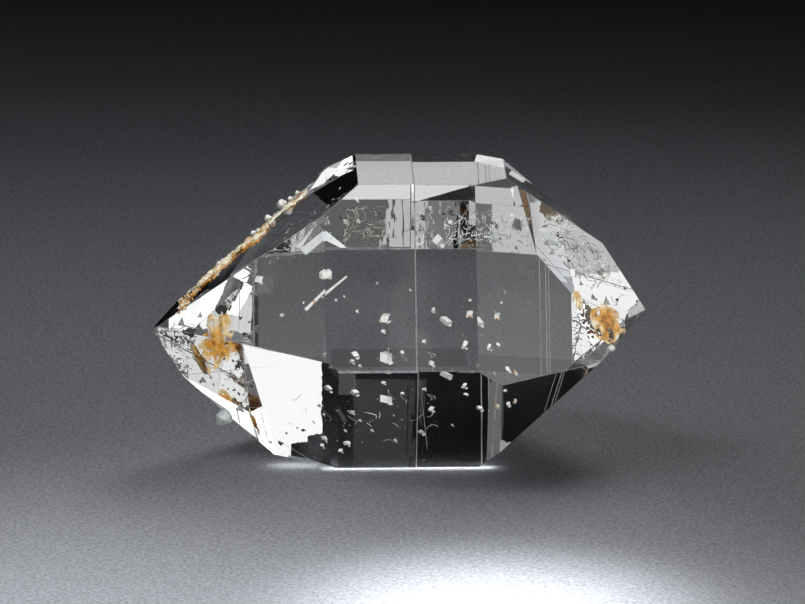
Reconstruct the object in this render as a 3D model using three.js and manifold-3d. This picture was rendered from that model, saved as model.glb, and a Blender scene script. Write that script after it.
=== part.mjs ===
import * as THREE from "three";
import { ConvexGeometry } from "three/addons/geometries/ConvexGeometry.js";
import { mergeVertices } from "three/addons/utils/BufferGeometryUtils.js";
import Module from "manifold-3d";

// A clear, doubly terminated quartz crystal that lies on one of its prism faces.
// All sizes are in millimetres and all angles in degrees. The long axis runs along X and Z points up.
// Every place below is measured from the middle of the crystal, before it is set down on its base face.

// Quartz keeps its angles however unevenly it grows: six prism faces, 60 degrees apart about the long axis,
// and at each end six rhombohedral faces, each tilted towards that end by the same angle.
const RHOMB_TILT = 38.21;
const TURN = {
  frontUpper: 30,
  top: 90,
  backUpper: 150,
  backLower: 210,
  base: 270,
  frontLower: 330,
};

// How far each face lies from the middle of the crystal, measured square to the face.
const PRISM = {
  frontUpper: 6.77,
  top: 7.2,
  backUpper: 6.57,
  backLower: 6.66,
  base: 6.8,
  frontLower: 7.87,
};
const RIGHT_POINT = {
  frontUpper: 7.55,
  top: 8.89,
  backUpper: 7.62,
  backLower: 9.0,
  base: 7.66,
  frontLower: 9.1,
};
const LEFT_POINT = {
  frontUpper: 7.75,
  top: 7.04,
  backUpper: 7.95,
  backLower: 7.8,
  base: 9.27,
  frontLower: 8.22,
};
const LEFT = { tilt: -RHOMB_TILT, distance: LEFT_POINT };
const RIGHT = { tilt: RHOMB_TILT, distance: RIGHT_POINT };

// Growth ledges: thin layers on the prism faces that stop short along the crystal. The end of each slopes
// down gently, so it shows as a fine line across the face.
const LEDGES = [
  { faces: ["top", "backUpper", "frontUpper"], rise: 0.06, to: 0.62 },
  { faces: ["frontLower"], rise: 0.05, to: 0.68 },
  { faces: ["backLower"], rise: 0.05, to: 4.15 },
  { faces: ["backLower"], rise: 0.03, from: 4.5, to: 4.7 },
];
const LEDGE_SLOPE = 62;

// A low hump of new growth along the upper left edge, given by the corners of its facets.
const HUMP = [
  [-4.6, 4.43, 5.34],
  [-4.44, 3.2, 5.46],
  [-4.12, 4.22, 5.9],
  [-3.62, 4.0, 6.46],
  [-3.17, 3.8, 6.68],
  [-2.29, 3.45, 7.18],
  [-2.29, 0.13, 7.15],
  [-3.2, 2.6, 5.2],
];

// A steep narrow face that bevels the right end of the lower front prism face.
const BEVELS = [{ face: "frontLower", tilt: 7, start: 4.15 }];

// Small crystals grown onto the edges of the big one.
const NUBS = [
  { at: [-8.8, -1.38, -5.12], length: 1.15, width: 1.0, tilt: 35, turn: 20 },
  { at: [10.45, -2.42, -1.45], length: 0.7, width: 0.42, tilt: -50, turn: 0 },
];

// Grains of grit that grew into the upper edge of the left end.
const GRAINS = [
  { at: [-5.85, 3.9, 4.58], radius: 0.27 },
  { at: [-5.42, 4.08, 4.8], radius: 0.15 },
  { at: [-5.06, 4.15, 5.08], radius: 0.12 },
  { at: [-6.55, 3.54, 3.95], radius: 0.2 },
  { at: [-7.3, 3.17, 3.25], radius: 0.15 },
];

// A crust of small lumps along the same edge. The lumps vary in size and stand a little in front of the edge.
const CRUST = {
  start: [-10.5, 1.62, 0.62],
  end: [-4.75, 4.2, 5.16],
  lumps: 34,
  radius: 0.14,
  variation: 0.05,
  wander: 0.16,
};

// Shallow three-sided etch pits on the rhombohedral faces.
const PITS = [
  { end: LEFT, face: "frontUpper", near: [-10.6, -1.2, -0.4], width: 0.55 },
  { end: LEFT, face: "frontUpper", near: [-9.7, -1.8, 0.1], width: 0.4 },
  { end: LEFT, face: "frontUpper", near: [-9.1, -2.6, -0.9], width: 0.6 },
  { end: LEFT, face: "frontUpper", near: [-11.3, -0.6, -0.2], width: 0.3 },
  { end: LEFT, face: "frontLower", near: [-9.8, -1.2, -3.2], width: 0.5 },
  { end: LEFT, face: "frontLower", near: [-8.2, -2.4, -4.6], width: 0.7 },
  { end: LEFT, face: "top", near: [-8.6, 0.8, 2.4], width: 0.5 },
  { end: RIGHT, face: "frontUpper", near: [10.3, -1.4, 0.7], width: 0.6 },
  { end: RIGHT, face: "frontUpper", near: [9.2, -2.2, 1.9], width: 0.35 },
  { end: RIGHT, face: "frontLower", near: [8.4, -2.6, -3.4], width: 0.4 },
];
const PIT_DEPTH = 0.08;

// Shell-shaped chips knocked out of the edges and the left point. Each is the ball that the chip broke along.
const CHIPS = [
  { at: [-14.25, -0.35, -0.75], radius: 2.0 },
  { at: [-5.9, -3.5, -7.05], radius: 0.62 },
  { at: [-4.9, -4.3, -7.2], radius: 0.72 },
  { at: [-7.6, -2.1, -6.35], radius: 0.5 },
  { at: [-4.4, 4.1, 5.9], radius: 0.5 },
  { at: [9.6, 1.9, 4.1], radius: 0.5 },
  { at: [11.6, -0.9, -1.6], radius: 0.42 },
];

const BLOCK = 40;
const COLOUR = 0xe4e7e6;

const radians = THREE.MathUtils.degToRad;
const wasm = await Module();
wasm.setup();

// Turns a closed three.js geometry into a solid that can be joined and cut.
function solidOf(geometry) {
  const bare = geometry.clone();
  bare.deleteAttribute("normal");
  bare.deleteAttribute("uv");
  const merged = mergeVertices(bare);
  return new wasm.Manifold(
    new wasm.Mesh({
      numProp: 3,
      vertProperties: merged.attributes.position.array,
      triVerts: new Uint32Array(merged.index.array),
    }),
  );
}

function geometryOf(solid) {
  const mesh = solid.getMesh();
  const geometry = new THREE.BufferGeometry();
  geometry.setAttribute("position", new THREE.BufferAttribute(mesh.vertProperties, 3));
  geometry.setIndex(new THREE.BufferAttribute(mesh.triVerts, 1));
  const flat = geometry.toNonIndexed();
  flat.computeVertexNormals();
  return flat;
}

// The outward direction of a face. A turn of 0 faces the front (-Y) and 90 faces up.
function outward(turn, tilt) {
  const a = radians(turn);
  const t = radians(tilt);
  return new THREE.Vector3(Math.sin(t), -Math.cos(t) * Math.cos(a), Math.cos(t) * Math.sin(a));
}

// Keeps what lies within a distance of the middle in the given direction.
function cutFace(solid, direction, distance) {
  return solid.trimByPlane(direction.clone().negate().toArray(), -distance);
}

// The whole crystal form, with some prism faces moved outward by a ledge's rise.
function crystalForm(raised = [], rise = 0) {
  let solid = solidOf(new THREE.BoxGeometry(BLOCK, BLOCK, BLOCK));
  for (const [name, turn] of Object.entries(TURN)) {
    const extra = raised.includes(name) ? rise : 0;
    solid = cutFace(solid, outward(turn, 0), PRISM[name] + extra);
    for (const end of [LEFT, RIGHT]) {
      solid = cutFace(solid, outward(turn, end.tilt), end.distance[name]);
    }
  }
  return solid;
}

// A raised layer that ends in a sloping facet on each of its faces.
function ledge({ faces, rise, from, to }) {
  let layer = crystalForm(faces, rise);
  for (const name of faces) {
    const foot = outward(TURN[name], 0).multiplyScalar(PRISM[name]);
    const ends = from === undefined ? [[to, LEDGE_SLOPE]] : [[to, LEDGE_SLOPE], [from, -LEDGE_SLOPE]];
    for (const [x, slope] of ends) {
      const direction = outward(TURN[name], slope);
      layer = cutFace(layer, direction, direction.dot(foot.clone().setX(x)));
    }
  }
  return layer;
}

function bevel(solid, { face, tilt, start }) {
  const hinge = outward(TURN[face], 0).multiplyScalar(PRISM[face]);
  hinge.x = start;
  const direction = outward(TURN[face], tilt);
  return cutFace(solid, direction, direction.dot(hinge));
}

// A six-sided crystal with a point at each end, turned into place from its own upright axis.
function nub({ at, length, width, tilt, turn }) {
  const radius = width / 2;
  const shoulder = Math.max(length / 2 - radius / Math.tan(radians(RHOMB_TILT)), 0.1 * length);
  const profile = [
    new THREE.Vector2(0, -length / 2),
    new THREE.Vector2(radius, -shoulder),
    new THREE.Vector2(radius, shoulder),
    new THREE.Vector2(0, length / 2),
  ];
  const shape = new THREE.LatheGeometry(profile, 6);
  shape.rotateZ(radians(tilt));
  shape.rotateX(radians(turn));
  shape.translate(...at);
  return solidOf(shape);
}

// A three-sided cone that points into the face, with its mouth a little above the surface.
function pit({ end, face, near, width }) {
  const direction = outward(TURN[face], end.tilt);
  const mouth = new THREE.Vector3(...near);
  mouth.addScaledVector(direction, end.distance[face] - mouth.dot(direction));
  const cone = new THREE.ConeGeometry(width, 2 * PIT_DEPTH, 3);
  const aim = new THREE.Quaternion().setFromUnitVectors(
    new THREE.Vector3(0, 1, 0),
    direction.clone().negate(),
  );
  cone.applyQuaternion(aim);
  cone.translate(mouth.x, mouth.y, mouth.z);
  return solidOf(cone);
}

function grain({ at, radius }) {
  const lump = new THREE.DodecahedronGeometry(radius, 0);
  lump.translate(...at);
  return solidOf(lump);
}

function hump(corners) {
  return solidOf(new ConvexGeometry(corners.map((corner) => new THREE.Vector3(...corner))));
}

// The places and sizes of the crust's lumps, from one end of the edge to the other.
function crustGrains({ start, end, lumps, radius, variation, wander }) {
  const first = new THREE.Vector3(...start);
  const last = new THREE.Vector3(...end);
  return Array.from({ length: lumps }, (_, i) => {
    const at = first.clone().lerp(last, i / (lumps - 1));
    at.y += wander * Math.sin(5.1 * i) - wander;
    return { at: at.toArray(), radius: radius + variation * Math.sin(2.3 * i) };
  });
}

function chip({ at, radius }) {
  const ball = new THREE.IcosahedronGeometry(radius, 2);
  ball.translate(...at);
  return solidOf(ball);
}

// Joins the growth first, then cuts what was etched and broken away.
function growCrystal() {
  let crystal = crystalForm();
  for (const layer of LEDGES.map(ledge)) crystal = crystal.add(layer);
  crystal = BEVELS.reduce(bevel, crystal);
  const small = [hump(HUMP), ...NUBS.map(nub), ...[...GRAINS, ...crustGrains(CRUST)].map(grain)];
  for (const piece of small) crystal = crystal.add(piece);
  for (const hollow of [...PITS.map(pit), ...CHIPS.map(chip)]) crystal = crystal.subtract(hollow);
  return crystal;
}

// Sets the crystal down on its base face, over the middle of its box.
function setDown(form) {
  form.computeBoundingBox();
  const { min, max } = form.boundingBox;
  form.translate(-(min.x + max.x) / 2, -(min.y + max.y) / 2, -min.z);
  return form;
}

const clearQuartz = new THREE.MeshStandardMaterial({ color: COLOUR, roughness: 0.04, metalness: 0 });
const crystal = new THREE.Mesh(setDown(geometryOf(growCrystal())), clearQuartz);
crystal.name = "crystal";

const group = new THREE.Group();
group.add(crystal);
export default group;
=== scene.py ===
import math
import random

import bmesh
import bpy
from mathutils import Euler, Matrix, Vector, noise


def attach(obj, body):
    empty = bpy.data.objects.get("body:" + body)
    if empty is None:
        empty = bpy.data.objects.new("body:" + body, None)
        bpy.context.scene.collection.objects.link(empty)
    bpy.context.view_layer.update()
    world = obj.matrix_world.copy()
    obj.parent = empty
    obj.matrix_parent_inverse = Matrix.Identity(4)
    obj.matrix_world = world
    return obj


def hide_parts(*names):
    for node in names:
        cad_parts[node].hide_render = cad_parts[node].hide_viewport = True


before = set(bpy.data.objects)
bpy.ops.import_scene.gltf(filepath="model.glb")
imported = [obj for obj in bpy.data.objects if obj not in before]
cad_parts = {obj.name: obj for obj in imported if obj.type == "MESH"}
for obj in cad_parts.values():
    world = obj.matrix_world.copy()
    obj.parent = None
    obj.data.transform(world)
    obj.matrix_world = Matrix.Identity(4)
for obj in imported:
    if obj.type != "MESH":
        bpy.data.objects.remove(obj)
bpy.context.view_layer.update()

# The view. A long lens looks a little down on the crystal, which lies with its long axis across the
# picture. One pixel of the picture covers 0.05 mm at the crystal, and the lens is 400 mm away from it.
MM = 0.001
IMAGE_WIDTH_PX, IMAGE_HEIGHT_PX = 805, 604
MM_PER_PX = 0.05
LENS_DISTANCE_MM = 400
LENS_ELEVATION = math.radians(13.35)
LENS_AZIMUTH = math.radians(1.54)
CRYSTAL_MIDDLE_MM = Vector((0.006, 0.407, 6.8))
MIDDLE_AT_PX = (400, 310)


def add_to_scene(piece):
    bpy.context.scene.collection.objects.link(piece)
    return piece


def aim(piece, place_mm, target_mm):
    piece.location = Vector(place_mm) * MM
    toward = Vector(target_mm) - Vector(place_mm)
    piece.rotation_euler = toward.to_track_quat("-Z", "Y").to_euler()


lens = bpy.data.cameras.new("view")
lens.sensor_width = 36
lens.lens = lens.sensor_width * LENS_DISTANCE_MM / (IMAGE_WIDTH_PX * MM_PER_PX)
lens.shift_x = (IMAGE_WIDTH_PX / 2 - MIDDLE_AT_PX[0]) / IMAGE_WIDTH_PX
lens.shift_y = (MIDDLE_AT_PX[1] - IMAGE_HEIGHT_PX / 2) / IMAGE_WIDTH_PX
lens.clip_start = 0.01
lens.clip_end = 20
camera = add_to_scene(bpy.data.objects.new("view", lens))
toward_lens = Vector((
    -math.sin(LENS_AZIMUTH) * math.cos(LENS_ELEVATION),
    -math.cos(LENS_AZIMUTH) * math.cos(LENS_ELEVATION),
    math.sin(LENS_ELEVATION),
))
aim(camera, CRYSTAL_MIDDLE_MM + LENS_DISTANCE_MM * toward_lens, CRYSTAL_MIDDLE_MM)
bpy.context.scene.camera = camera


# The crystal. Colourless rock crystal: a natural quartz prism with a six-faced point at each end. Its
# faces grew flat and bright. Its growth layers end in frosted steps, and its long edges are barely worn.
QUARTZ_IOR = 1.544
SEAM_MM = 0.0005
SAME_PLANE = math.radians(0.05)
GROWTH_STEP_SLOPE = math.radians(62)
ETCHED_FACE_MM2 = 0.25
EDGE_WEAR_MM = 0.015
WORN_EDGE_MIN_MM = 1.5
WORN_EDGE_MIN_ANGLE = math.radians(40)
STRIAE_PER_MM, STRIAE_DEPTH_MM = 1.4, 0.0015
ETCHING_PER_MM = 3.0


def linear(hex_colour):
    channels = [int(hex_colour[i:i + 2], 16) / 255 for i in (1, 3, 5)]
    return [c / 12.92 if c <= 0.04045 else ((c + 0.055) / 1.055) ** 2.4 for c in channels] + [1.0]


def node(tree, kind, links=None, stops=(), **settings):
    """Adds a node with its settings and links. The stops of a colour ramp are places and hex colours."""
    made = tree.nodes.new(kind)
    for name, value in settings.items():
        if hasattr(made, name):
            setattr(made, name, value)
        else:
            made.inputs[name.replace("_", " ")].default_value = value
    for at, colour in stops:
        made.color_ramp.elements.new(at).color = linear(colour)
    if stops:
        made.color_ramp.elements.remove(made.color_ramp.elements[0])
        made.color_ramp.elements.remove(made.color_ramp.elements[-1])
    for socket, source in (links or {}).items():
        tree.links.new(source, made.inputs[socket])
    return made


def new_material(name):
    material = bpy.data.materials.new(name)
    material.use_nodes = True
    material.node_tree.nodes.clear()
    return material


# Clear, with growth striae so faint that they only make the light seen through it waver. They are drawn
# 0.7 mm apart, coarser than real ones, because finer ones would not show.
clear_quartz = new_material("clear quartz, natural faces")
tree = clear_quartz.node_tree
place = node(tree, "ShaderNodeTexCoord")
across_prism = node(tree, "ShaderNodeMapping", {"Vector": place.outputs["Object"]}, Scale=(1.0, 0.2, 0.2))
striae = node(
    tree, "ShaderNodeTexNoise", {"Vector": across_prism.outputs["Vector"]},
    Scale=STRIAE_PER_MM / MM, Detail=2.0,
)
relief = node(
    tree, "ShaderNodeBump", {"Height": striae.outputs["Fac"]}, Strength=1.0, Distance=STRIAE_DEPTH_MM * MM)
body = node(
    tree, "ShaderNodeBsdfPrincipled", {"Normal": relief.outputs["Normal"]},
    Base_Color=linear("#fbfcfb"), Roughness=0.0, IOR=QUARTZ_IOR, Transmission_Weight=1.0,
)
node(tree, "ShaderNodeOutputMaterial", {"Surface": body.outputs["BSDF"]})

# Frosted where the surface is broken: fine white lines on growth steps and worn edges, and dull etch pits.
# The etching is drawn 0.3 mm across, coarser than the real one, so that it shows.
frosted_quartz = new_material("quartz, frosted growth step")
tree = frosted_quartz.node_tree
place = node(tree, "ShaderNodeTexCoord")
etching = node(
    tree, "ShaderNodeTexNoise", {"Vector": place.outputs["Object"]}, Scale=ETCHING_PER_MM / MM, Detail=3.0)
frost = node(
    tree, "ShaderNodeValToRGB", {"Fac": etching.outputs["Fac"]}, stops=((0.35, "#b9c0c2"), (0.6, "#f4f6f6")))
body = node(
    tree, "ShaderNodeBsdfPrincipled", {"Base Color": frost.outputs["Color"]},
    Roughness=0.5, IOR=QUARTZ_IOR, Transmission_Weight=0.7,
)
node(tree, "ShaderNodeOutputMaterial", {"Surface": body.outputs["BSDF"]})

# Light is reflected many times between the faces before it leaves, so its path may turn often.
paths = bpy.context.scene.cycles
paths.max_bounces = 20
paths.glossy_bounces = 12
paths.transmission_bounces = 16

bm = bmesh.new()
bm.from_mesh(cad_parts["crystal"].data)
bmesh.ops.remove_doubles(bm, verts=bm.verts, dist=SEAM_MM * MM)
bmesh.ops.dissolve_limit(bm, angle_limit=SAME_PLANE, verts=bm.verts, edges=bm.edges)
for face in bm.faces:
    face.smooth = False
    growth_step = abs(abs(face.normal.x) - math.sin(GROWTH_STEP_SLOPE)) < 0.002
    face.material_index = int(growth_step or face.calc_area() < ETCHED_FACE_MM2 * MM * MM)
worn_edges = [
    edge for edge in bm.edges
    if edge.calc_length() > WORN_EDGE_MIN_MM * MM and edge.calc_face_angle(0) > WORN_EDGE_MIN_ANGLE
]
worn = bmesh.ops.bevel(
    bm, geom=worn_edges, offset=EDGE_WEAR_MM * MM, segments=1, profile=0.5, affect="EDGES", material=-1,
)
for face in worn["faces"]:
    face.material_index = 1
mesh = bpy.data.meshes.new("rock crystal")
bm.to_mesh(mesh)
bm.free()
crystal = add_to_scene(bpy.data.objects.new("rock_crystal", mesh))
crystal.data.materials.append(clear_quartz)
crystal.data.materials.append(frosted_quartz)
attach(crystal, "root")
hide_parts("crystal")


# Small things caught inside. Rhombs and crumbs of pale carbonate were trapped as the crystal grew. They
# are angular, mostly under half a millimetre, and each stands at its own place in the quartz. Each is
# given by its place and its width, and is a cleaved block with a chip beside it.
CRUMBS_MM = (
    (-6.86, -2.39, 9.0, 0.5), (-3.74, -4.88, 9.82, 0.5), (-4.97, -1.54, 6.68, 0.25),
    (-2.22, -1.33, 6.59, 0.2), (-0.83, -1.51, 6.27, 0.6), (-0.93, -1.2, 5.46, 0.3),
    (1.54, -1.96, 6.84, 0.3), (2.2, -0.95, 5.89, 0.6), (1.1, -1.47, 5.0, 0.25), (3.19, -0.86, 4.72, 0.25),
    (3.36, -0.97, 6.27, 0.4), (3.05, -2.61, 5.14, 0.4), (4.45, -2.59, 3.84, 0.3),
    (-2.37, -2.78, 4.78, 0.5), (-0.8, -2.17, 4.37, 0.65), (-2.47, -0.74, 3.67, 0.3),
    (-2.06, -0.09, 3.21, 0.2), (1.45, -1.41, 3.79, 0.4), (0.98, -0.69, 2.41, 0.4),
    (-2.73, -1.49, 1.73, 0.4), (-3.05, -1.85, 1.27, 0.35), (3.84, -1.91, 3.81, 0.4),
    (-2.75, -1.51, 11.47, 0.35), (-2.17, 0.24, 12.03, 0.25), (-2.14, -0.31, 11.08, 0.25),
    (1.82, -0.99, 10.22, 0.65), (8.29, -0.5, 8.8, 0.55), (2.41, -1.43, 11.39, 0.3),
    (1.43, -0.78, 11.92, 0.25), (4.89, -0.29, 11.55, 0.25), (-2.87, -2.23, 7.71, 0.15),
    (0.45, 0.5, 7.07, 0.15), (-1.17, 1.97, 6.94, 0.15), (3.42, 0.23, 6.6, 0.15), (4.6, -1.06, 11.4, 0.3),
    (5.31, -0.74, 10.81, 0.2), (9.27, 0.13, 10.06, 0.2), (11.3, -0.1, 6.7, 0.2), (-3.24, 0.25, 6.64, 0.15),
    (-0.01, -2.39, 4.75, 0.2), (-1.47, -1.29, 2.52, 0.2), (-0.33, -1.23, 1.89, 0.25),
    (-2.8, -0.1, 2.59, 0.2), (2.53, -0.1, 2.87, 0.2),
)
BLOCK_SHARE, CHIP_SHARE = 0.85, 0.4
RUST_SPOTS_PER_MM = 2.5


def crumb(bm, place_mm, size_mm, rng, flat=0.6, cleaved=False):
    """One angular crumb, turned and squashed at random. A cleaved one is a slanted block."""
    angle = rng.uniform(0, math.tau)
    axis = Vector([rng.gauss(0, 1) for _ in range(3)]).normalized()
    turn = Matrix.Rotation(angle, 4, axis)
    squash = Matrix.Diagonal((rng.uniform(0.8, 1.2), rng.uniform(0.7, 1.0), flat, 1.0))
    place = Matrix.Translation(Vector(place_mm) * MM)
    if cleaved:
        slant = Matrix.Shear("XY", 4, (0.25, 0.3))
        bmesh.ops.create_cube(bm, size=0.75 * size_mm * MM, matrix=place @ turn @ squash @ slant)
    else:
        bmesh.ops.create_icosphere(
            bm, subdivisions=1, radius=size_mm / 2 * MM, matrix=place @ turn @ squash)


def finish_piece(bm, name, material):
    bmesh.ops.recalc_face_normals(bm, faces=bm.faces)
    mesh = bpy.data.meshes.new(name)
    bm.to_mesh(mesh)
    bm.free()
    piece = add_to_scene(bpy.data.objects.new(name, mesh))
    piece.data.materials.append(material)
    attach(piece, "root")


# White and a little waxy, with rusty spots about 0.4 mm apart.
pale_crumbs = new_material("pale carbonate crumbs")
tree = pale_crumbs.node_tree
place = node(tree, "ShaderNodeTexCoord")
clouds = node(
    tree, "ShaderNodeTexNoise", {"Vector": place.outputs["Object"]}, Scale=RUST_SPOTS_PER_MM / MM, Detail=3.0)
tint = node(
    tree, "ShaderNodeValToRGB", {"Fac": clouds.outputs["Fac"]},
    stops=((0.28, "#b9772c"), (0.35, "#ead9ba"), (0.41, "#fdfdfb")),
)
body = node(tree, "ShaderNodeBsdfPrincipled", {"Base Color": tint.outputs["Color"]}, Roughness=0.35)
glow = node(tree, "ShaderNodeBsdfTranslucent", {"Color": tint.outputs["Color"]})
both = node(tree, "ShaderNodeMixShader", {1: body.outputs["BSDF"], 2: glow.outputs["BSDF"]}, Fac=0.15)
node(tree, "ShaderNodeOutputMaterial", {"Surface": both.outputs["Shader"]})

rng = random.Random(11)
bm = bmesh.new()
for x, y, z, size in CRUMBS_MM:
    crumb(bm, (x, y, z), BLOCK_SHARE * size, rng, flat=0.8, cleaved=True)
    crumb(bm, (x + 0.3 * size, y, z - 0.4 * size), CHIP_SHARE * size, rng, cleaved=True)
finish_piece(bm, "trapped_crumbs", pale_crumbs)

# One needle of pale mineral, six-sided, that thins to half its width at its upper end.
NEEDLE_FROM_MM, NEEDLE_TO_MM = Vector((-4.68, -5.3, 8.14)), Vector((-2.76, -5.15, 9.79))
NEEDLE_FOOT_RADIUS_MM, NEEDLE_TIP_RADIUS_MM = 0.11, 0.05
bm = bmesh.new()
needle_run = NEEDLE_TO_MM - NEEDLE_FROM_MM
stand = needle_run.to_track_quat("Z", "Y").to_matrix().to_4x4()
bmesh.ops.create_cone(
    bm, cap_ends=True, segments=6, radius1=NEEDLE_FOOT_RADIUS_MM * MM, radius2=NEEDLE_TIP_RADIUS_MM * MM,
    depth=needle_run.length * MM, matrix=Matrix.Translation((NEEDLE_FROM_MM + needle_run / 2) * MM) @ stand,
)
finish_piece(bm, "needle", pale_crumbs)

# Black specks of hardened bitumen, which are common in these crystals. They have a dull, coaly lustre that
# varies over about 0.2 mm.
BLACK_SPECKS_MM = (
    (9.19, 0.04, 10.19, 0.2), (8.16, -0.64, 9.43, 0.2), (-6.41, -1.79, 0.7, 0.25),
    (-5.9, -2.23, 0.77, 0.35), (-5.59, -2.82, 1.45, 0.2), (-4.74, -3.74, 1.85, 0.3),
    (-10.37, -1.31, 6.15, 0.6), (-10.72, -1.22, 6.14, 0.35), (10.35, -1.51, 5.79, 0.3),
    (10.75, -0.22, 7.38, 0.2), (-7.35, -3.06, 6.97, 0.2), (-9.64, -0.81, 4.01, 0.25),
    (-10.08, -0.89, 4.92, 0.2), (-7.77, -2.5, 7.03, 0.25), (-7.56, -3.03, 6.34, 0.25),
    (7.83, -0.58, 10.62, 0.2), (-5.04, -3.51, 1.9, 0.15),
)
LUSTRE_PER_MM = 6.0
black_bitumen = new_material("hardened bitumen, black")
tree = black_bitumen.node_tree
place = node(tree, "ShaderNodeTexCoord")
lustre = node(
    tree, "ShaderNodeTexNoise", {"Vector": place.outputs["Object"]}, Scale=LUSTRE_PER_MM / MM, Detail=2.0)
soot = node(
    tree, "ShaderNodeValToRGB", {"Fac": lustre.outputs["Fac"]}, stops=((0.35, "#0b0c10"), (0.65, "#2c2a2b")))
body = node(tree, "ShaderNodeBsdfPrincipled", {"Base Color": soot.outputs["Color"]}, Roughness=0.3)
node(tree, "ShaderNodeOutputMaterial", {"Surface": body.outputs["BSDF"]})
rng = random.Random(7)
bm = bmesh.new()
for x, y, z, size in BLACK_SPECKS_MM:
    crumb(bm, (x, y, z), size, rng, flat=0.4)
    crumb(bm, (x + 0.4 * size, y, z + 0.1 * size), 0.6 * size, rng, flat=0.4)
finish_piece(bm, "black_specks", black_bitumen)


# Veils. Old cracks healed while the crystal grew and left sheets of tiny bubbles, drawn out in threads. A
# few cracks stayed open as thin flat gaps. Their glint is painted on them as a flat white colour.
THREAD_SIDES, THREAD_STEP_MM = 3, 0.1
BUBBLE_PATCHES_PER_MM = 1.6


def thread(bm, path_mm, radius_mm):
    """A thin three-sided thread along a path, drawn to a point at each end."""
    off_path = Vector((0.1, 0.2, 1))
    turns = [math.tau * k / THREAD_SIDES for k in range(THREAD_SIDES)]
    rings = [[bm.verts.new(path_mm[0] * MM)] * THREAD_SIDES]
    for before, here, after in zip(path_mm, path_mm[1:], path_mm[2:]):
        side = (after - before).cross(off_path).normalized()
        lift = (after - before).cross(side).normalized()
        rings.append([
            bm.verts.new((here + radius_mm * (math.cos(a) * side + math.sin(a) * lift)) * MM) for a in turns
        ])
    rings.append([bm.verts.new(path_mm[-1] * MM)] * THREAD_SIDES)
    for near, far in zip(rings, rings[1:]):
        for k in range(THREAD_SIDES):
            corners = (near[k - 1], near[k], far[k], far[k - 1])
            bm.faces.new(tuple(dict.fromkeys(corners)))


def veil(name, middle_mm, along_mm, down_mm, threads, specks, size_mm, material, lay=0.0, spread=1.2):
    """A healed crack with its threads lying mostly at one angle across the sheet."""
    rng = random.Random(name)
    middle, along, down = Vector(middle_mm), Vector(along_mm), Vector(down_mm)
    square = along.cross(down).normalized()
    bm = bmesh.new()

    def on_sheet(u, v):
        u, v = max(-1, min(1, u)), max(-1, min(1, v))
        bulge = 0.1 * math.sin(2.7 * u + 1.9 * v) + rng.gauss(0, 0.02)
        return middle + along * u + down * v + square * bulge

    for _ in range(threads):
        u, v = rng.uniform(-1, 1), rng.uniform(-1, 1)
        heading = rng.gauss(lay, spread)
        path = []
        for _ in range(rng.randint(4, 11)):
            path.append(on_sheet(u, v))
            u += THREAD_STEP_MM * math.cos(heading) / along.length
            v += THREAD_STEP_MM * math.sin(heading) / down.length
            heading += rng.gauss(0, 0.55)
        thread(bm, path, size_mm * rng.uniform(0.25, 0.6))
    for _ in range(specks):
        spot_mm = on_sheet(rng.uniform(-1, 1), rng.uniform(-1, 1))
        crumb(bm, spot_mm, size_mm * rng.uniform(0.5, 2.0), rng, flat=0.5)
    finish_piece(bm, name, material)


def bubbly(name, dark, light):
    """Scattering white specks whose brightness varies over about 0.6 mm along the sheet."""
    material = new_material(name)
    tree = material.node_tree
    place = node(tree, "ShaderNodeTexCoord")
    patches = node(
        tree, "ShaderNodeTexNoise", {"Vector": place.outputs["Object"]},
        Scale=BUBBLE_PATCHES_PER_MM / MM, Detail=2.0,
    )
    tint = node(
        tree, "ShaderNodeValToRGB", {"Fac": patches.outputs["Fac"]}, stops=((0.38, dark), (0.58, light)))
    body = node(tree, "ShaderNodeBsdfPrincipled", {"Base Color": tint.outputs["Color"]}, Roughness=0.3)
    glow = node(tree, "ShaderNodeBsdfTranslucent", {"Color": tint.outputs["Color"]})
    both = node(tree, "ShaderNodeMixShader", {1: body.outputs["BSDF"], 2: glow.outputs["BSDF"]}, Fac=0.25)
    node(tree, "ShaderNodeOutputMaterial", {"Surface": both.outputs["Shader"]})
    return material


bubbles = bubbly("healed crack, tiny bubbles", "#9aa1a3", "#f8fafa")
dull_bubbles = bubbly("healed crack, clay-stained bubbles", "#8f897d", "#d9d4c8")
# The white of the open cracks is a painted glint, not their own colour.
open_crack_painted_glint = bubbly("open crack, painted white glint", "#eef3f5", "#ffffff")

# The sheets of bubbles seen through the upper front face, from left to right.
UP = math.pi / 2
TOP_DOWN = (-0.01, -0.26, -0.95)
veil("veil_top_left", (-1.86, -2.03, 11.4), (1.09, 0, -0.01), TOP_DOWN, 45, 60, 0.05, dull_bubbles)
veil("veil_top_middle", (1.1, -2.03, 11.39), (0.49, 0, 0), TOP_DOWN, 16, 20, 0.05, bubbles, UP, 0.3)
veil("veil_top_dark", (3.13, -2.03, 11.38), (1.0, 0.1, -0.02), TOP_DOWN, 45, 70, 0.06, bubbles)
veil(
    "veil_top_right", (5.16, -1.67, 11.42), (1.06, 0.7, -0.15), (-0.06, -0.37, -0.92),
    36, 30, 0.05, bubbles, UP, 0.4,
)

# The two that fill the upper right shoulder.
ACROSS_SHOULDER = (0.75, 0.45, 0.6)
veil(
    "veil_shoulder", (8.5, -0.25, 10.0), (1.5, 0.25, -1.5), ACROSS_SHOULDER,
    80, 80, 0.08, bubbles, 0.3, 0.8,
)
veil(
    "veil_shoulder_grey", (8.4, -0.15, 9.9), (1.6, 0.3, -1.6), ACROSS_SHOULDER,
    50, 40, 0.07, dull_bubbles, 0.2, 0.6,
)

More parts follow.
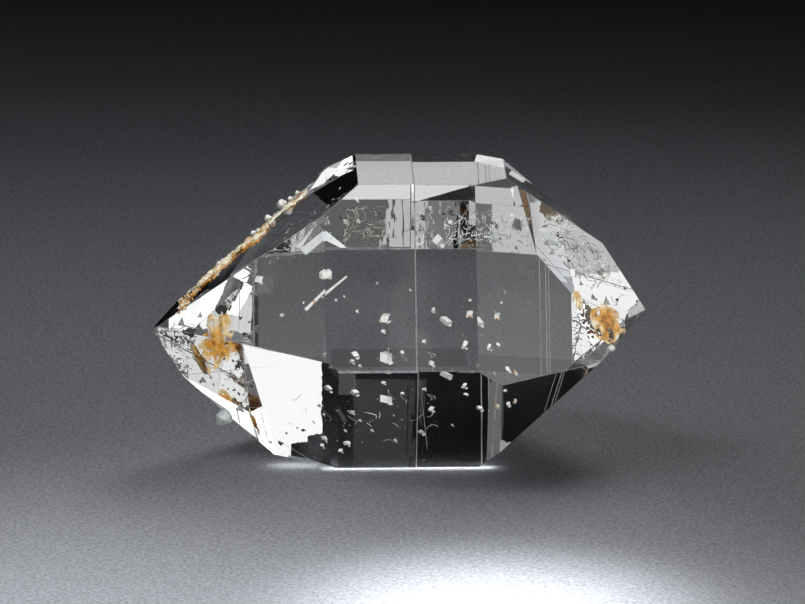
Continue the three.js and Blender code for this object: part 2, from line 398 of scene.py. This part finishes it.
# Thinner ones low in the middle and in the left point.
veil("veil_low_front", (-0.6, -2.03, 3.4), (2.36, 0, -0.02), (0.02, 0.3, -1.7), 14, 50, 0.05, bubbles)
veil(
    "veil_left_low", (-5.47, -3.34, 3.43), (1.1, -1.0, 0.28), (-0.07, 0.9, -1.9),
    3, 6, 0.05, dull_bubbles, UP, 0.5,
)
veil(
    "veil_left_tip", (-10.1, -1.15, 6.41), (1.35, -0.72, 0.13), (-0.11, -0.02, -0.42),
    8, 2, 0.045, bubbles, 0.1, 0.12,
)
veil(
    "veil_left_side", (-10.0, -0.28, 3.8), (0.8, -0.26, -0.37), (0.13, 0.28, -1.0),
    5, 4, 0.045, bubbles, 1.2, 0.4,
)
veil(
    "veil_left_shoulder", (-5.01, -0.53, 10.5), (1.4, -1.05, 0.92), (0.2, -2.6, -0.03),
    50, 90, 0.06, bubbles,
)
veil("veil_middle", (3.99, -2.8, 6.7), (1.9, 1.1, -0.24), (-0.04, -1.2, -2.1), 4, 16, 0.05, dull_bubbles)

# The open cracks: two that meet in a chevron under the upper left edge, and a sliver beside them, all painted
# white as a glint.
CRACK_GAP_MM = 0.03
OPEN_CRACKS_MM = (
    ((-4.91, -3.51, 10.8), (-3.77, -3.93, 11.8), (-3.77, -4.15, 11.35), (-4.62, -3.88, 10.58)),
    ((-3.77, -3.93, 11.8), (-2.74, -4.35, 11.03), (-3.04, -4.35, 11.03), (-3.77, -4.15, 11.35)),
    ((-4.2, -2.81, 11.68), (-4.2, -3.4, 11.85), (-4.83, -3.39, 10.8), (-5.08, -3.18, 10.8)),
)
bm = bmesh.new()
for corners_mm in OPEN_CRACKS_MM:
    corners = [Vector(corner_mm) for corner_mm in corners_mm]
    square = (corners[1] - corners[0]).cross(corners[2] - corners[0]).normalized()
    near = [bm.verts.new((corner + CRACK_GAP_MM / 2 * square) * MM) for corner in corners]
    far = [bm.verts.new((corner - CRACK_GAP_MM / 2 * square) * MM) for corner in corners]
    walls = [bm.faces.new(near), bm.faces.new(far[::-1])]
    bmesh.ops.bridge_loops(bm, edges=[edge for wall in walls for edge in wall.edges])
finish_piece(bm, "open_cracks", open_crack_painted_glint)


# Iron stain. Yellow and brown iron oxide seeped into cracks in both points, as thin crumpled films that
# thin out towards their rims.
FILM_HALF_THICKNESS_MM, FILM_CRUMPLE_MM = 0.035, 0.12
BLOTCHES_PER_MM, GAPS_PER_MM = 1.3, 2.6
RIM_PALER, RIM_BARER = 0.14, -0.22


def stained_film(name, middle_mm, reach_mm, lean, seed):
    """A ball squashed to a film, with an uneven outline. Each vertex keeps how near it is to the rim."""
    bm = bmesh.new()
    bmesh.ops.create_icosphere(bm, subdivisions=5, radius=1.0)
    rim = bm.verts.layers.float.new("rim")
    turn = Euler([math.radians(a) for a in lean]).to_matrix()
    offset = Vector((seed * 3.7, 0, 0))
    for vert in bm.verts:
        x, y, z = vert.co
        vert[rim] = math.hypot(x, y)
        out = 0.85 + 0.5 * noise.noise(vert.co * 1.6 + offset)
        crumple = FILM_CRUMPLE_MM * noise.noise(Vector((x * 2.3, y * 2.3, 5)) + offset)
        flat = Vector((x * reach_mm[0] * out, y * reach_mm[1] * out, FILM_HALF_THICKNESS_MM * z + crumple))
        vert.co = (Vector(middle_mm) + turn @ flat) * MM
    finish_piece(bm, name, iron_film)


# Ochre in blotches of about 0.8 mm, deeper in the middle and cream at its thin parts, with gaps of about
# 0.4 mm where the crack stayed clean.
iron_film = new_material("iron oxide film in a crack")
tree = iron_film.node_tree
place = node(tree, "ShaderNodeTexCoord")
blotch = node(
    tree, "ShaderNodeTexNoise", {"Vector": place.outputs["Object"]},
    Scale=BLOTCHES_PER_MM / MM, Detail=5.0, Roughness=0.62,
)
thinning = node(tree, "ShaderNodeAttribute", attribute_name="rim")
paler = node(
    tree, "ShaderNodeMath", {0: thinning.outputs["Fac"], 2: blotch.outputs["Fac"]}, operation="MULTIPLY_ADD")
paler.inputs[1].default_value = RIM_PALER
rust = node(tree, "ShaderNodeValToRGB", {"Fac": paler.outputs["Value"]}, stops=(
    (0.4, "#8f5410"), (0.48, "#cf8a1c"), (0.58, "#e6ad49"), (0.68, "#f2d69c"), (0.76, "#faf4e6"),
))
body = node(tree, "ShaderNodeBsdfPrincipled", {"Base Color": rust.outputs["Color"]}, Roughness=0.5)
glow = node(tree, "ShaderNodeBsdfTranslucent", {"Color": rust.outputs["Color"]})
solid = node(tree, "ShaderNodeMixShader", {1: body.outputs["BSDF"], 2: glow.outputs["BSDF"]}, Fac=0.15)
holes = node(
    tree, "ShaderNodeTexNoise", {"Vector": place.outputs["Object"]}, Scale=GAPS_PER_MM / MM, Detail=4.0)
barer = node(
    tree, "ShaderNodeMath", {0: thinning.outputs["Fac"], 2: holes.outputs["Fac"]}, operation="MULTIPLY_ADD")
barer.inputs[1].default_value = RIM_BARER
cover = node(tree, "ShaderNodeMapRange", {"Value": barer.outputs["Value"]}, From_Min=0.22, From_Max=0.34)
gap = node(tree, "ShaderNodeBsdfTransparent")
film = node(
    tree, "ShaderNodeMixShader",
    {0: cover.outputs["Result"], 1: gap.outputs["BSDF"], 2: solid.outputs["Shader"]},
)
node(tree, "ShaderNodeOutputMaterial", {"Surface": film.outputs["Shader"]})
stained_film("iron_film_right", (10.07, -0.95, 6.3), (0.95, 1.15), (67, 0, 42), 1)
stained_film("iron_film_right_strip", (8.52, -1.15, 7.55), (0.3, 0.6), (67, 0, 42), 2)
stained_film("iron_film_left", (-9.02, -2.2, 5.9), (1.05, 1.45), (67, 0, -42), 3)
stained_film("iron_film_left_low", (-9.75, -0.65, 4.68), (0.4, 1.05), (100, -25, -42), 4)
stained_film("iron_film_left_crack", (-7.05, -1.35, 1.62), (0.16, 0.9), (110, -10, -42), 5)


# The crust. Iron-stained clay and grit grew onto the upper edge of the left end, where the crystal touched
# the wall of its pocket. It is a band of small lumps, cream and tan above and orange along its lower side.
CRUST_FROM_MM, CRUST_TO_MM = Vector((-11.3, 1.69, 6.86)), Vector((-4.5, 4.7, 12.1))
CRUST_LIFT_MM = 0.04
GRIT_DEPTH_MM = 0.04


def earth(name, stops, grit_per_mm):
    """Dull earth, mottled from lump to lump, with a rough skin."""
    material = new_material(name)
    tree = material.node_tree
    place = node(tree, "ShaderNodeTexCoord")
    grit = node(
        tree, "ShaderNodeTexNoise", {"Vector": place.outputs["Object"]}, Scale=grit_per_mm / MM, Detail=5.0)
    rough = node(
        tree, "ShaderNodeBump", {"Height": grit.outputs["Fac"]}, Strength=0.5, Distance=GRIT_DEPTH_MM * MM)
    mottle = node(tree, "ShaderNodeValToRGB", {"Fac": grit.outputs["Fac"]}, stops=stops)
    body = node(
        tree, "ShaderNodeBsdfPrincipled",
        {"Base Color": mottle.outputs["Color"], "Normal": rough.outputs["Normal"]}, Roughness=0.85,
    )
    node(tree, "ShaderNodeOutputMaterial", {"Surface": body.outputs["BSDF"]})
    return material


def crust_band(name, material, reach, lumps, near_mm, far_mm, sizes_mm, seed):
    """Lumps along a share of the edge, at distances in front of it, crowded here and sparse there."""
    rng = random.Random(seed)
    bm = bmesh.new()
    for _ in range(lumps):
        along = reach[0] + (reach[1] - reach[0]) * rng.random()
        swell = 0.3 + 0.6 * abs(math.sin(6.3 * along + 0.9)) + 0.3 * math.sin(23 * along)
        forward = near_mm + (far_mm - near_mm) * rng.random() * swell
        spot_mm = CRUST_FROM_MM.lerp(CRUST_TO_MM, along) + Vector((0, -forward, CRUST_LIFT_MM))
        size_mm = rng.uniform(*sizes_mm) * (0.6 + 0.5 * swell)
        crumb(bm, spot_mm, size_mm, rng, flat=0.75)
    finish_piece(bm, name, material)


pale_clay = earth(
    "pale clay and grit", ((0.34, "#8d6a3c"), (0.42, "#c9a468"), (0.5, "#e2d2ae"), (0.62, "#f3eddc")), 1.5)
limonite = earth(
    "limonite, orange iron clay", ((0.35, "#7c4410"), (0.48, "#cf8420"), (0.62, "#e8b566")), 1.8)
crust_band("edge_crust", pale_clay, (0.2, 1), 520, 0.0, 1.7, (0.1, 0.34), 23)
crust_band("edge_crust_orange", limonite, (0.05, 1), 210, 1.3, 2.3, (0.08, 0.2), 29)
crust_band("edge_crust_thin", pale_clay, (0.03, 0.45), 320, 0.2, 2.8, (0.06, 0.16), 37)

# White grains of calcite that sit in the crust and on the two small crystals.
rng = random.Random(31)
bm = bmesh.new()
for x, y, z, size in (
    (-5.85, 4.1, 11.5, 0.5), (-5.42, 4.3, 11.7, 0.28), (-5.06, 4.35, 11.98, 0.24), (-6.55, 3.7, 10.85, 0.36),
    (-7.3, 3.35, 10.15, 0.3), (-9.0, 2.5, 8.75, 0.34), (-8.8, 2.6, 8.9, 0.26), (-8.79, -0.97, 1.68, 0.5),
    (10.46, -2.0, 5.35, 0.34),
):
    crumb(bm, (x, y, z), size, rng, flat=0.85)
    crumb(bm, (x + 0.3 * size, y - 0.1, z + 0.1 * size), 0.6 * size, rng, flat=0.8)
finish_piece(bm, "edge_grains", pale_crumbs)


# The surface. The crystal lies on a plain pale matt sheet, with a fine grain about 0.2 mm across. The sheet
# is a hair below the crystal, so that the two do not share a plane.
SHEET_GAP_MM = 0.03
FIBRES_PER_MM = 5.5
bm = bmesh.new()
bmesh.ops.create_grid(bm, x_segments=1, y_segments=1, size=1.5)
bmesh.ops.translate(bm, verts=bm.verts, vec=(0, 0, -SHEET_GAP_MM * MM))
mesh = bpy.data.meshes.new("pale surface")
bm.to_mesh(mesh)
bm.free()
sheet = add_to_scene(bpy.data.objects.new("pale_surface", mesh))
paper = new_material("pale matt sheet")
tree = paper.node_tree
place = node(tree, "ShaderNodeTexCoord")
fibre = node(
    tree, "ShaderNodeTexNoise", {"Vector": place.outputs["Object"]}, Scale=FIBRES_PER_MM / MM, Detail=2.0)
tone = node(
    tree, "ShaderNodeValToRGB", {"Fac": fibre.outputs["Fac"]}, stops=((0.3, "#a8abb4"), (0.7, "#e2e5ee")))
body = node(tree, "ShaderNodeBsdfPrincipled", {"Base Color": tone.outputs["Color"]}, Roughness=0.55)
node(tree, "ShaderNodeOutputMaterial", {"Surface": body.outputs["BSDF"]})
sheet.data.materials.append(paper)


# The light. A large soft key stands behind the crystal to its right and rakes over it towards the front. A
# panel at the upper left and two soft spots fill the front, and the room behind stays dim.
KEY_MM, KEY_AIM_MM, KEY_SIZE_MM = (39.9, 117, 107.6), (-24.9, -74.5, 26.6), (57.1, 78.7)
STRAIGHT_UP = Vector((0, 0, 1))


def soft_panel(name, place_mm, aim_mm, size_mm, radiance, spread=180):
    """A flat light. The radiance is what shows when it is seen straight on."""
    lamp = bpy.data.lights.new(name, "AREA")
    lamp.shape = "RECTANGLE"
    lamp.size, lamp.size_y = size_mm[0] * MM, size_mm[1] * MM
    lamp.spread = math.radians(spread)
    half = lamp.spread / 2
    narrowing = 1 - half / math.tan(half) if spread < 180 else 1
    lamp.energy = radiance * narrowing * math.pi * lamp.size * lamp.size_y
    holder = add_to_scene(bpy.data.objects.new(name, lamp))
    aim(holder, place_mm, aim_mm)
    return holder


def soft_spot(name, place_mm, aim_mm, power, angle):
    lamp = bpy.data.lights.new(name, "SPOT")
    lamp.energy = power
    lamp.spot_size = math.radians(angle)
    lamp.spot_blend = 1.0
    lamp.shadow_soft_size = 4 * MM
    holder = add_to_scene(bpy.data.objects.new(name, lamp))
    aim(holder, place_mm, aim_mm)
    return holder


def leave_out(collection, piece):
    """Lights linked to the collection pass this piece by."""
    collection.objects.link(piece)
    collection.collection_objects[-1].light_linking.link_state = "EXCLUDE"


# The crystal is clear, so it casts no full shadow. Lights blocked by this collection shine through it.
clear_of = bpy.data.collections.new("lets light through")
leave_out(clear_of, crystal)
inside_only = bpy.data.collections.new("lit inside only")
leave_out(inside_only, sheet)

key = soft_panel("key_behind", KEY_MM, KEY_AIM_MM, KEY_SIZE_MM, 6.4, spread=70)
key.visible_glossy = key.visible_transmission = False
overhead = soft_panel("overhead_left", (-110, 20, 150), (-60, -20, 0), (80, 80), 3.0, spread=90)
overhead.visible_glossy = overhead.visible_transmission = False
front_fill = soft_spot("front_fill", (-20, -160, 170), (-14, -58, 0), 1.65, 26)
front_fill.light_linking.blocker_collection = clear_of
soft_spot("front_pool", (3, -120, 170), (3.5, -32, 0), 2.8, 6.5)
inner_light = soft_panel("onto_inclusions", (10, -120, 110), (0, 0, 7), (120, 120), 6.5)
inner_light.light_linking.blocker_collection = clear_of
inner_light.light_linking.receiver_collection = inside_only
inner_light.visible_glossy = inner_light.visible_transmission = False

# The crystal gathers light onto the sheet, in a bright line along its front foot and a paler patch at the
# left.
onto_sheet = bpy.data.collections.new("lit sheet only")
onto_sheet.objects.link(sheet)
for name, place_mm, size_mm, radiance in (
    ("foot_line", (0.3, -4.75, 0.25), (8.4, 0.16), 9.0),
    ("foot_patch", (-5.3, -4.1, 0.6), (2.2, 0.7), 2.0),
):
    gathered = soft_panel(name, place_mm, (place_mm[0], place_mm[1] + 0.001, 0), size_mm, radiance)
    gathered.light_linking.receiver_collection = onto_sheet
    gathered.light_linking.blocker_collection = clear_of
    gathered.visible_camera = gathered.visible_glossy = gathered.visible_transmission = False

# Cards that only the polished faces see. They stand at the sides, and in leaning planes in front and behind.
cards = [
    soft_panel("card_key", Vector(KEY_MM).lerp(Vector(KEY_AIM_MM), 0.01), KEY_AIM_MM, (46, 60), 1.16),
    soft_panel("card_right", (182, -16, 88), (0, 0, 7), (110, 60), 1.0),
    soft_panel("card_left", (-182, -16, 88), (0, 0, 7), (110, 60), 0.55),
    soft_panel("card_low_right", (27, -21, 4.5), (0, 0, 4.5), (34, 9), 0.75),
]


def cards_in_plane(middle_mm, target_mm, spread, rows):
    """Cards side by side in a plane that faces a target. Their edges run across and up from its middle."""
    middle = Vector(middle_mm)
    facing = (Vector(target_mm) - middle).normalized()
    across = facing.cross(STRAIGHT_UP).normalized()
    upward = across.cross(facing)
    for name, left, right, low, high, radiance in rows:
        spot = middle + across * (left + right) / 2 + upward * (low + high) / 2
        size_mm = (right - left, high - low)
        cards.append(soft_panel(name, spot, spot + 10 * facing, size_mm, radiance, spread))


cards_in_plane((-20, -120, 125), (0, 0, 7), 180, (
    ("card_front_far", -140, -62, -85, -20, 0.5),
    ("card_front_left", -49, -35, -8, 9, 0.5),
    ("card_front_middle", -35, 23.5, 0, 9, 0.1),
    ("card_front_right", 23.5, 26.2, 0, 9, 0.5),
    ("card_front_edge", 26.2, 29, 0, 9, 0.18),
    ("card_front_top", 5, 24.8, 9, 22, 0.4),
))
cards_in_plane((17.13, 36.53, 22.11), (-1.6, 6.36, 3.7), 60, (
    ("left_window", -1.4, 4.5, -1.45, 4.0, 1.2),
    ("left_window_step", -0.6, 4.5, -1.7, -1.45, 1.2),
    ("left_window_low", 0.4, 4.5, -3.6, -1.7, 1.2),
))

# Small cards for single facets. Each is given by the facet's place, the direction that it gathers light
# from as an elevation and a bearing from straight behind, the distance, the card's size and its radiance.
for name, facet_mm, elevation, bearing, distance, size_mm, radiance in (
    ("top_left_low", (5.2, -5.8, 2.8), -3, 174, 15, (5, 3.6), 1.45),
    ("top_left_back", (-0.3, 4.5, 13.0), 26, -22.5, 60, (6, 5), 1.3),
    ("top_left_front", (3.0, -7.85, 6.0), 30, -156.5, 60, (6, 5), 1.3),
    ("left_white", (-3.25, -3.2, 13.1), 52, -59, 60, (4, 4), 1.5),
    ("left_tip_high", (-1.45, -2.7, 14.1), 37, -53.5, 60, (5, 4), 0.7),
    ("left_tip_back", (-3.05, -2.8, 13.35), 13, -21, 60, (6, 4), 0.7),
    ("left_tip_right", (4.3, -1.75, 0.45), 24.5, 126, 40, (4, 4), 1.2),
    ("left_stain", (-11.2, -0.85, 5.65), -14, -111.5, 15, (4, 3), 0.75),
    ("left_low_side", (-6.2, 5.0, 9.25), -5, -95, 20, (3, 2.5), 0.8),
    ("left_low_right", (4.3, 7.1, 8.0), 20, 84, 60, (6, 5), 0.85),
    ("left_low_front", (5.4, 7.1, 6.1), 26.5, 107.5, 60, (4, 4), 0.8),
    ("right_tip_low", (0.75, -7.7, 5.15), -10.5, 117.5, 14, (5, 2.4), 0.95),
    ("right_tip_near", (-5.0, -5.65, 4.4), 22, -137, 12, (2.6, 3.6), 0.45),
    ("right_tip_back", (1.25, 6.6, 9.2), 45, -42, 60, (6, 5), 0.9),
    ("right_tip_left", (-6.9, -3.15, 2.9), 13.5, -118, 60, (6, 5), 0.9),
    ("right_shoulder", (-7.9, -3.6, 7.1), -6.5, -137, 25, (4.5, 4.5), 0.35),
    ("bevel", (4.15, 6.2, 3.5), 27.5, -3, 150, (3.4, 6), 0.11),
):
    level = math.cos(math.radians(elevation))
    toward_card = Vector((
        math.sin(math.radians(bearing)) * level,
        math.cos(math.radians(bearing)) * level,
        math.sin(math.radians(elevation)),
    ))
    facet = Vector(facet_mm)
    cards.append(soft_panel(name, facet + distance * toward_card, facet, size_mm, radiance, spread=60))

# Bright patches that lie on the sheet and are seen only through the crystal. Each is given by its edges,
# its height, its radiance and its spread.
for name, left, right, front, back, height, radiance, spread in (
    ("patch_behind", -3.2, 6.0, 6.9, 11.6, 0.0, 1.65, 80),
    ("patch_band", -2.3, 1.0, 5.6, 6.6, 0.0, 0.33, 150),
    ("patch_under", -3.4, 0.93, 3.3, 4.4, -0.015, 1.02, 90),
    ("patch_left_back", -8.3, -6.7, 4.0, 7.4, 0.0, 2.5, 150),
    ("patch_white_front", 2.8, 4.4, -12.2, -9.6, 0.0, 1.5, 170),
    ("patch_left_tip", 2.4, 4.6, -16.8, -12.2, 0.0, 1.2, 170),
    ("patch_white_back", -4.3, -2.7, 10.7, 12.3, 0.0, 2.0, 130),
    ("patch_white_left", -10.7, -9.3, 1.8, 3.4, 0.0, 1.4, 130),
    ("patch_left_far", 22.5, 29.5, -6.6, -3.4, 0.0, 0.8, 170),
    ("patch_left_low", 16.3, 18.8, -8.6, -4.6, 0.0, 0.8, 170),
    ("patch_right_tip", -4.7, -2.3, -13.4, -8.6, 0.0, 1.0, 170),
):
    middle = Vector(((left + right) / 2, (front + back) / 2, height))
    size_mm = (right - left, back - front)
    cards.append(soft_panel(name, middle, middle + STRAIGHT_UP, size_mm, radiance, spread))

# One patch more, turned, because the light seen through the top face ends on a slant at its right.
slant_middle = Vector((2.91, 3.16, -0.015))
slanted = soft_panel("patch_slanted", slant_middle, slant_middle + STRAIGHT_UP, (4.2, 1.05), 1.02, 90)
slanted.rotation_euler = (math.pi, 0, math.radians(-16.4))
cards.append(slanted)

for card in cards:
    card.visible_diffuse = False
    card.visible_camera = False

# Painted shade: two dark matt sheets, black and grey, on the sheet behind the crystal. They stand in for the
# shade seen there through its faces, and only the polished faces see them.
PAINTED_SHADE_HEIGHT_MM = -0.01
for name, colour, left, right, front, back in (
    ("black_painted_shade", "#0b0b0c", 5.7, 9.5, 7.3, 11.8),
    ("grey_painted_shade", "#a6a9af", -3.3, 3.6, 10.4, 14.3),
):
    bm = bmesh.new()
    bmesh.ops.create_grid(bm, x_segments=1, y_segments=1, size=0.5 * MM)
    bmesh.ops.scale(bm, verts=bm.verts, vec=(right - left, back - front, 1))
    middle = Vector(((left + right) / 2, (front + back) / 2, PAINTED_SHADE_HEIGHT_MM))
    bmesh.ops.translate(bm, verts=bm.verts, vec=middle * MM)
    mesh = bpy.data.meshes.new(name)
    bm.to_mesh(mesh)
    bm.free()
    shade_piece = add_to_scene(bpy.data.objects.new(name, mesh))
    # The black and the grey are painted shade, not a colour that the sheet has.
    shade_stock = new_material("painted shade, matt, " + colour)
    body = node(shade_stock.node_tree, "ShaderNodeBsdfPrincipled", Base_Color=linear(colour), Roughness=0.6)
    node(shade_stock.node_tree, "ShaderNodeOutputMaterial", {"Surface": body.outputs["BSDF"]})
    shade_piece.data.materials.append(shade_stock)
    shade_piece.visible_camera = shade_piece.visible_diffuse = shade_piece.visible_shadow = False
    leave_out(inside_only, shade_piece)

room = bpy.data.worlds.new("dim room")
bpy.context.scene.world = room
room.use_nodes = True
room.node_tree.nodes["Background"].inputs["Color"].default_value = linear("#070708")
bpy.context.scene.view_settings.view_transform = "Standard"
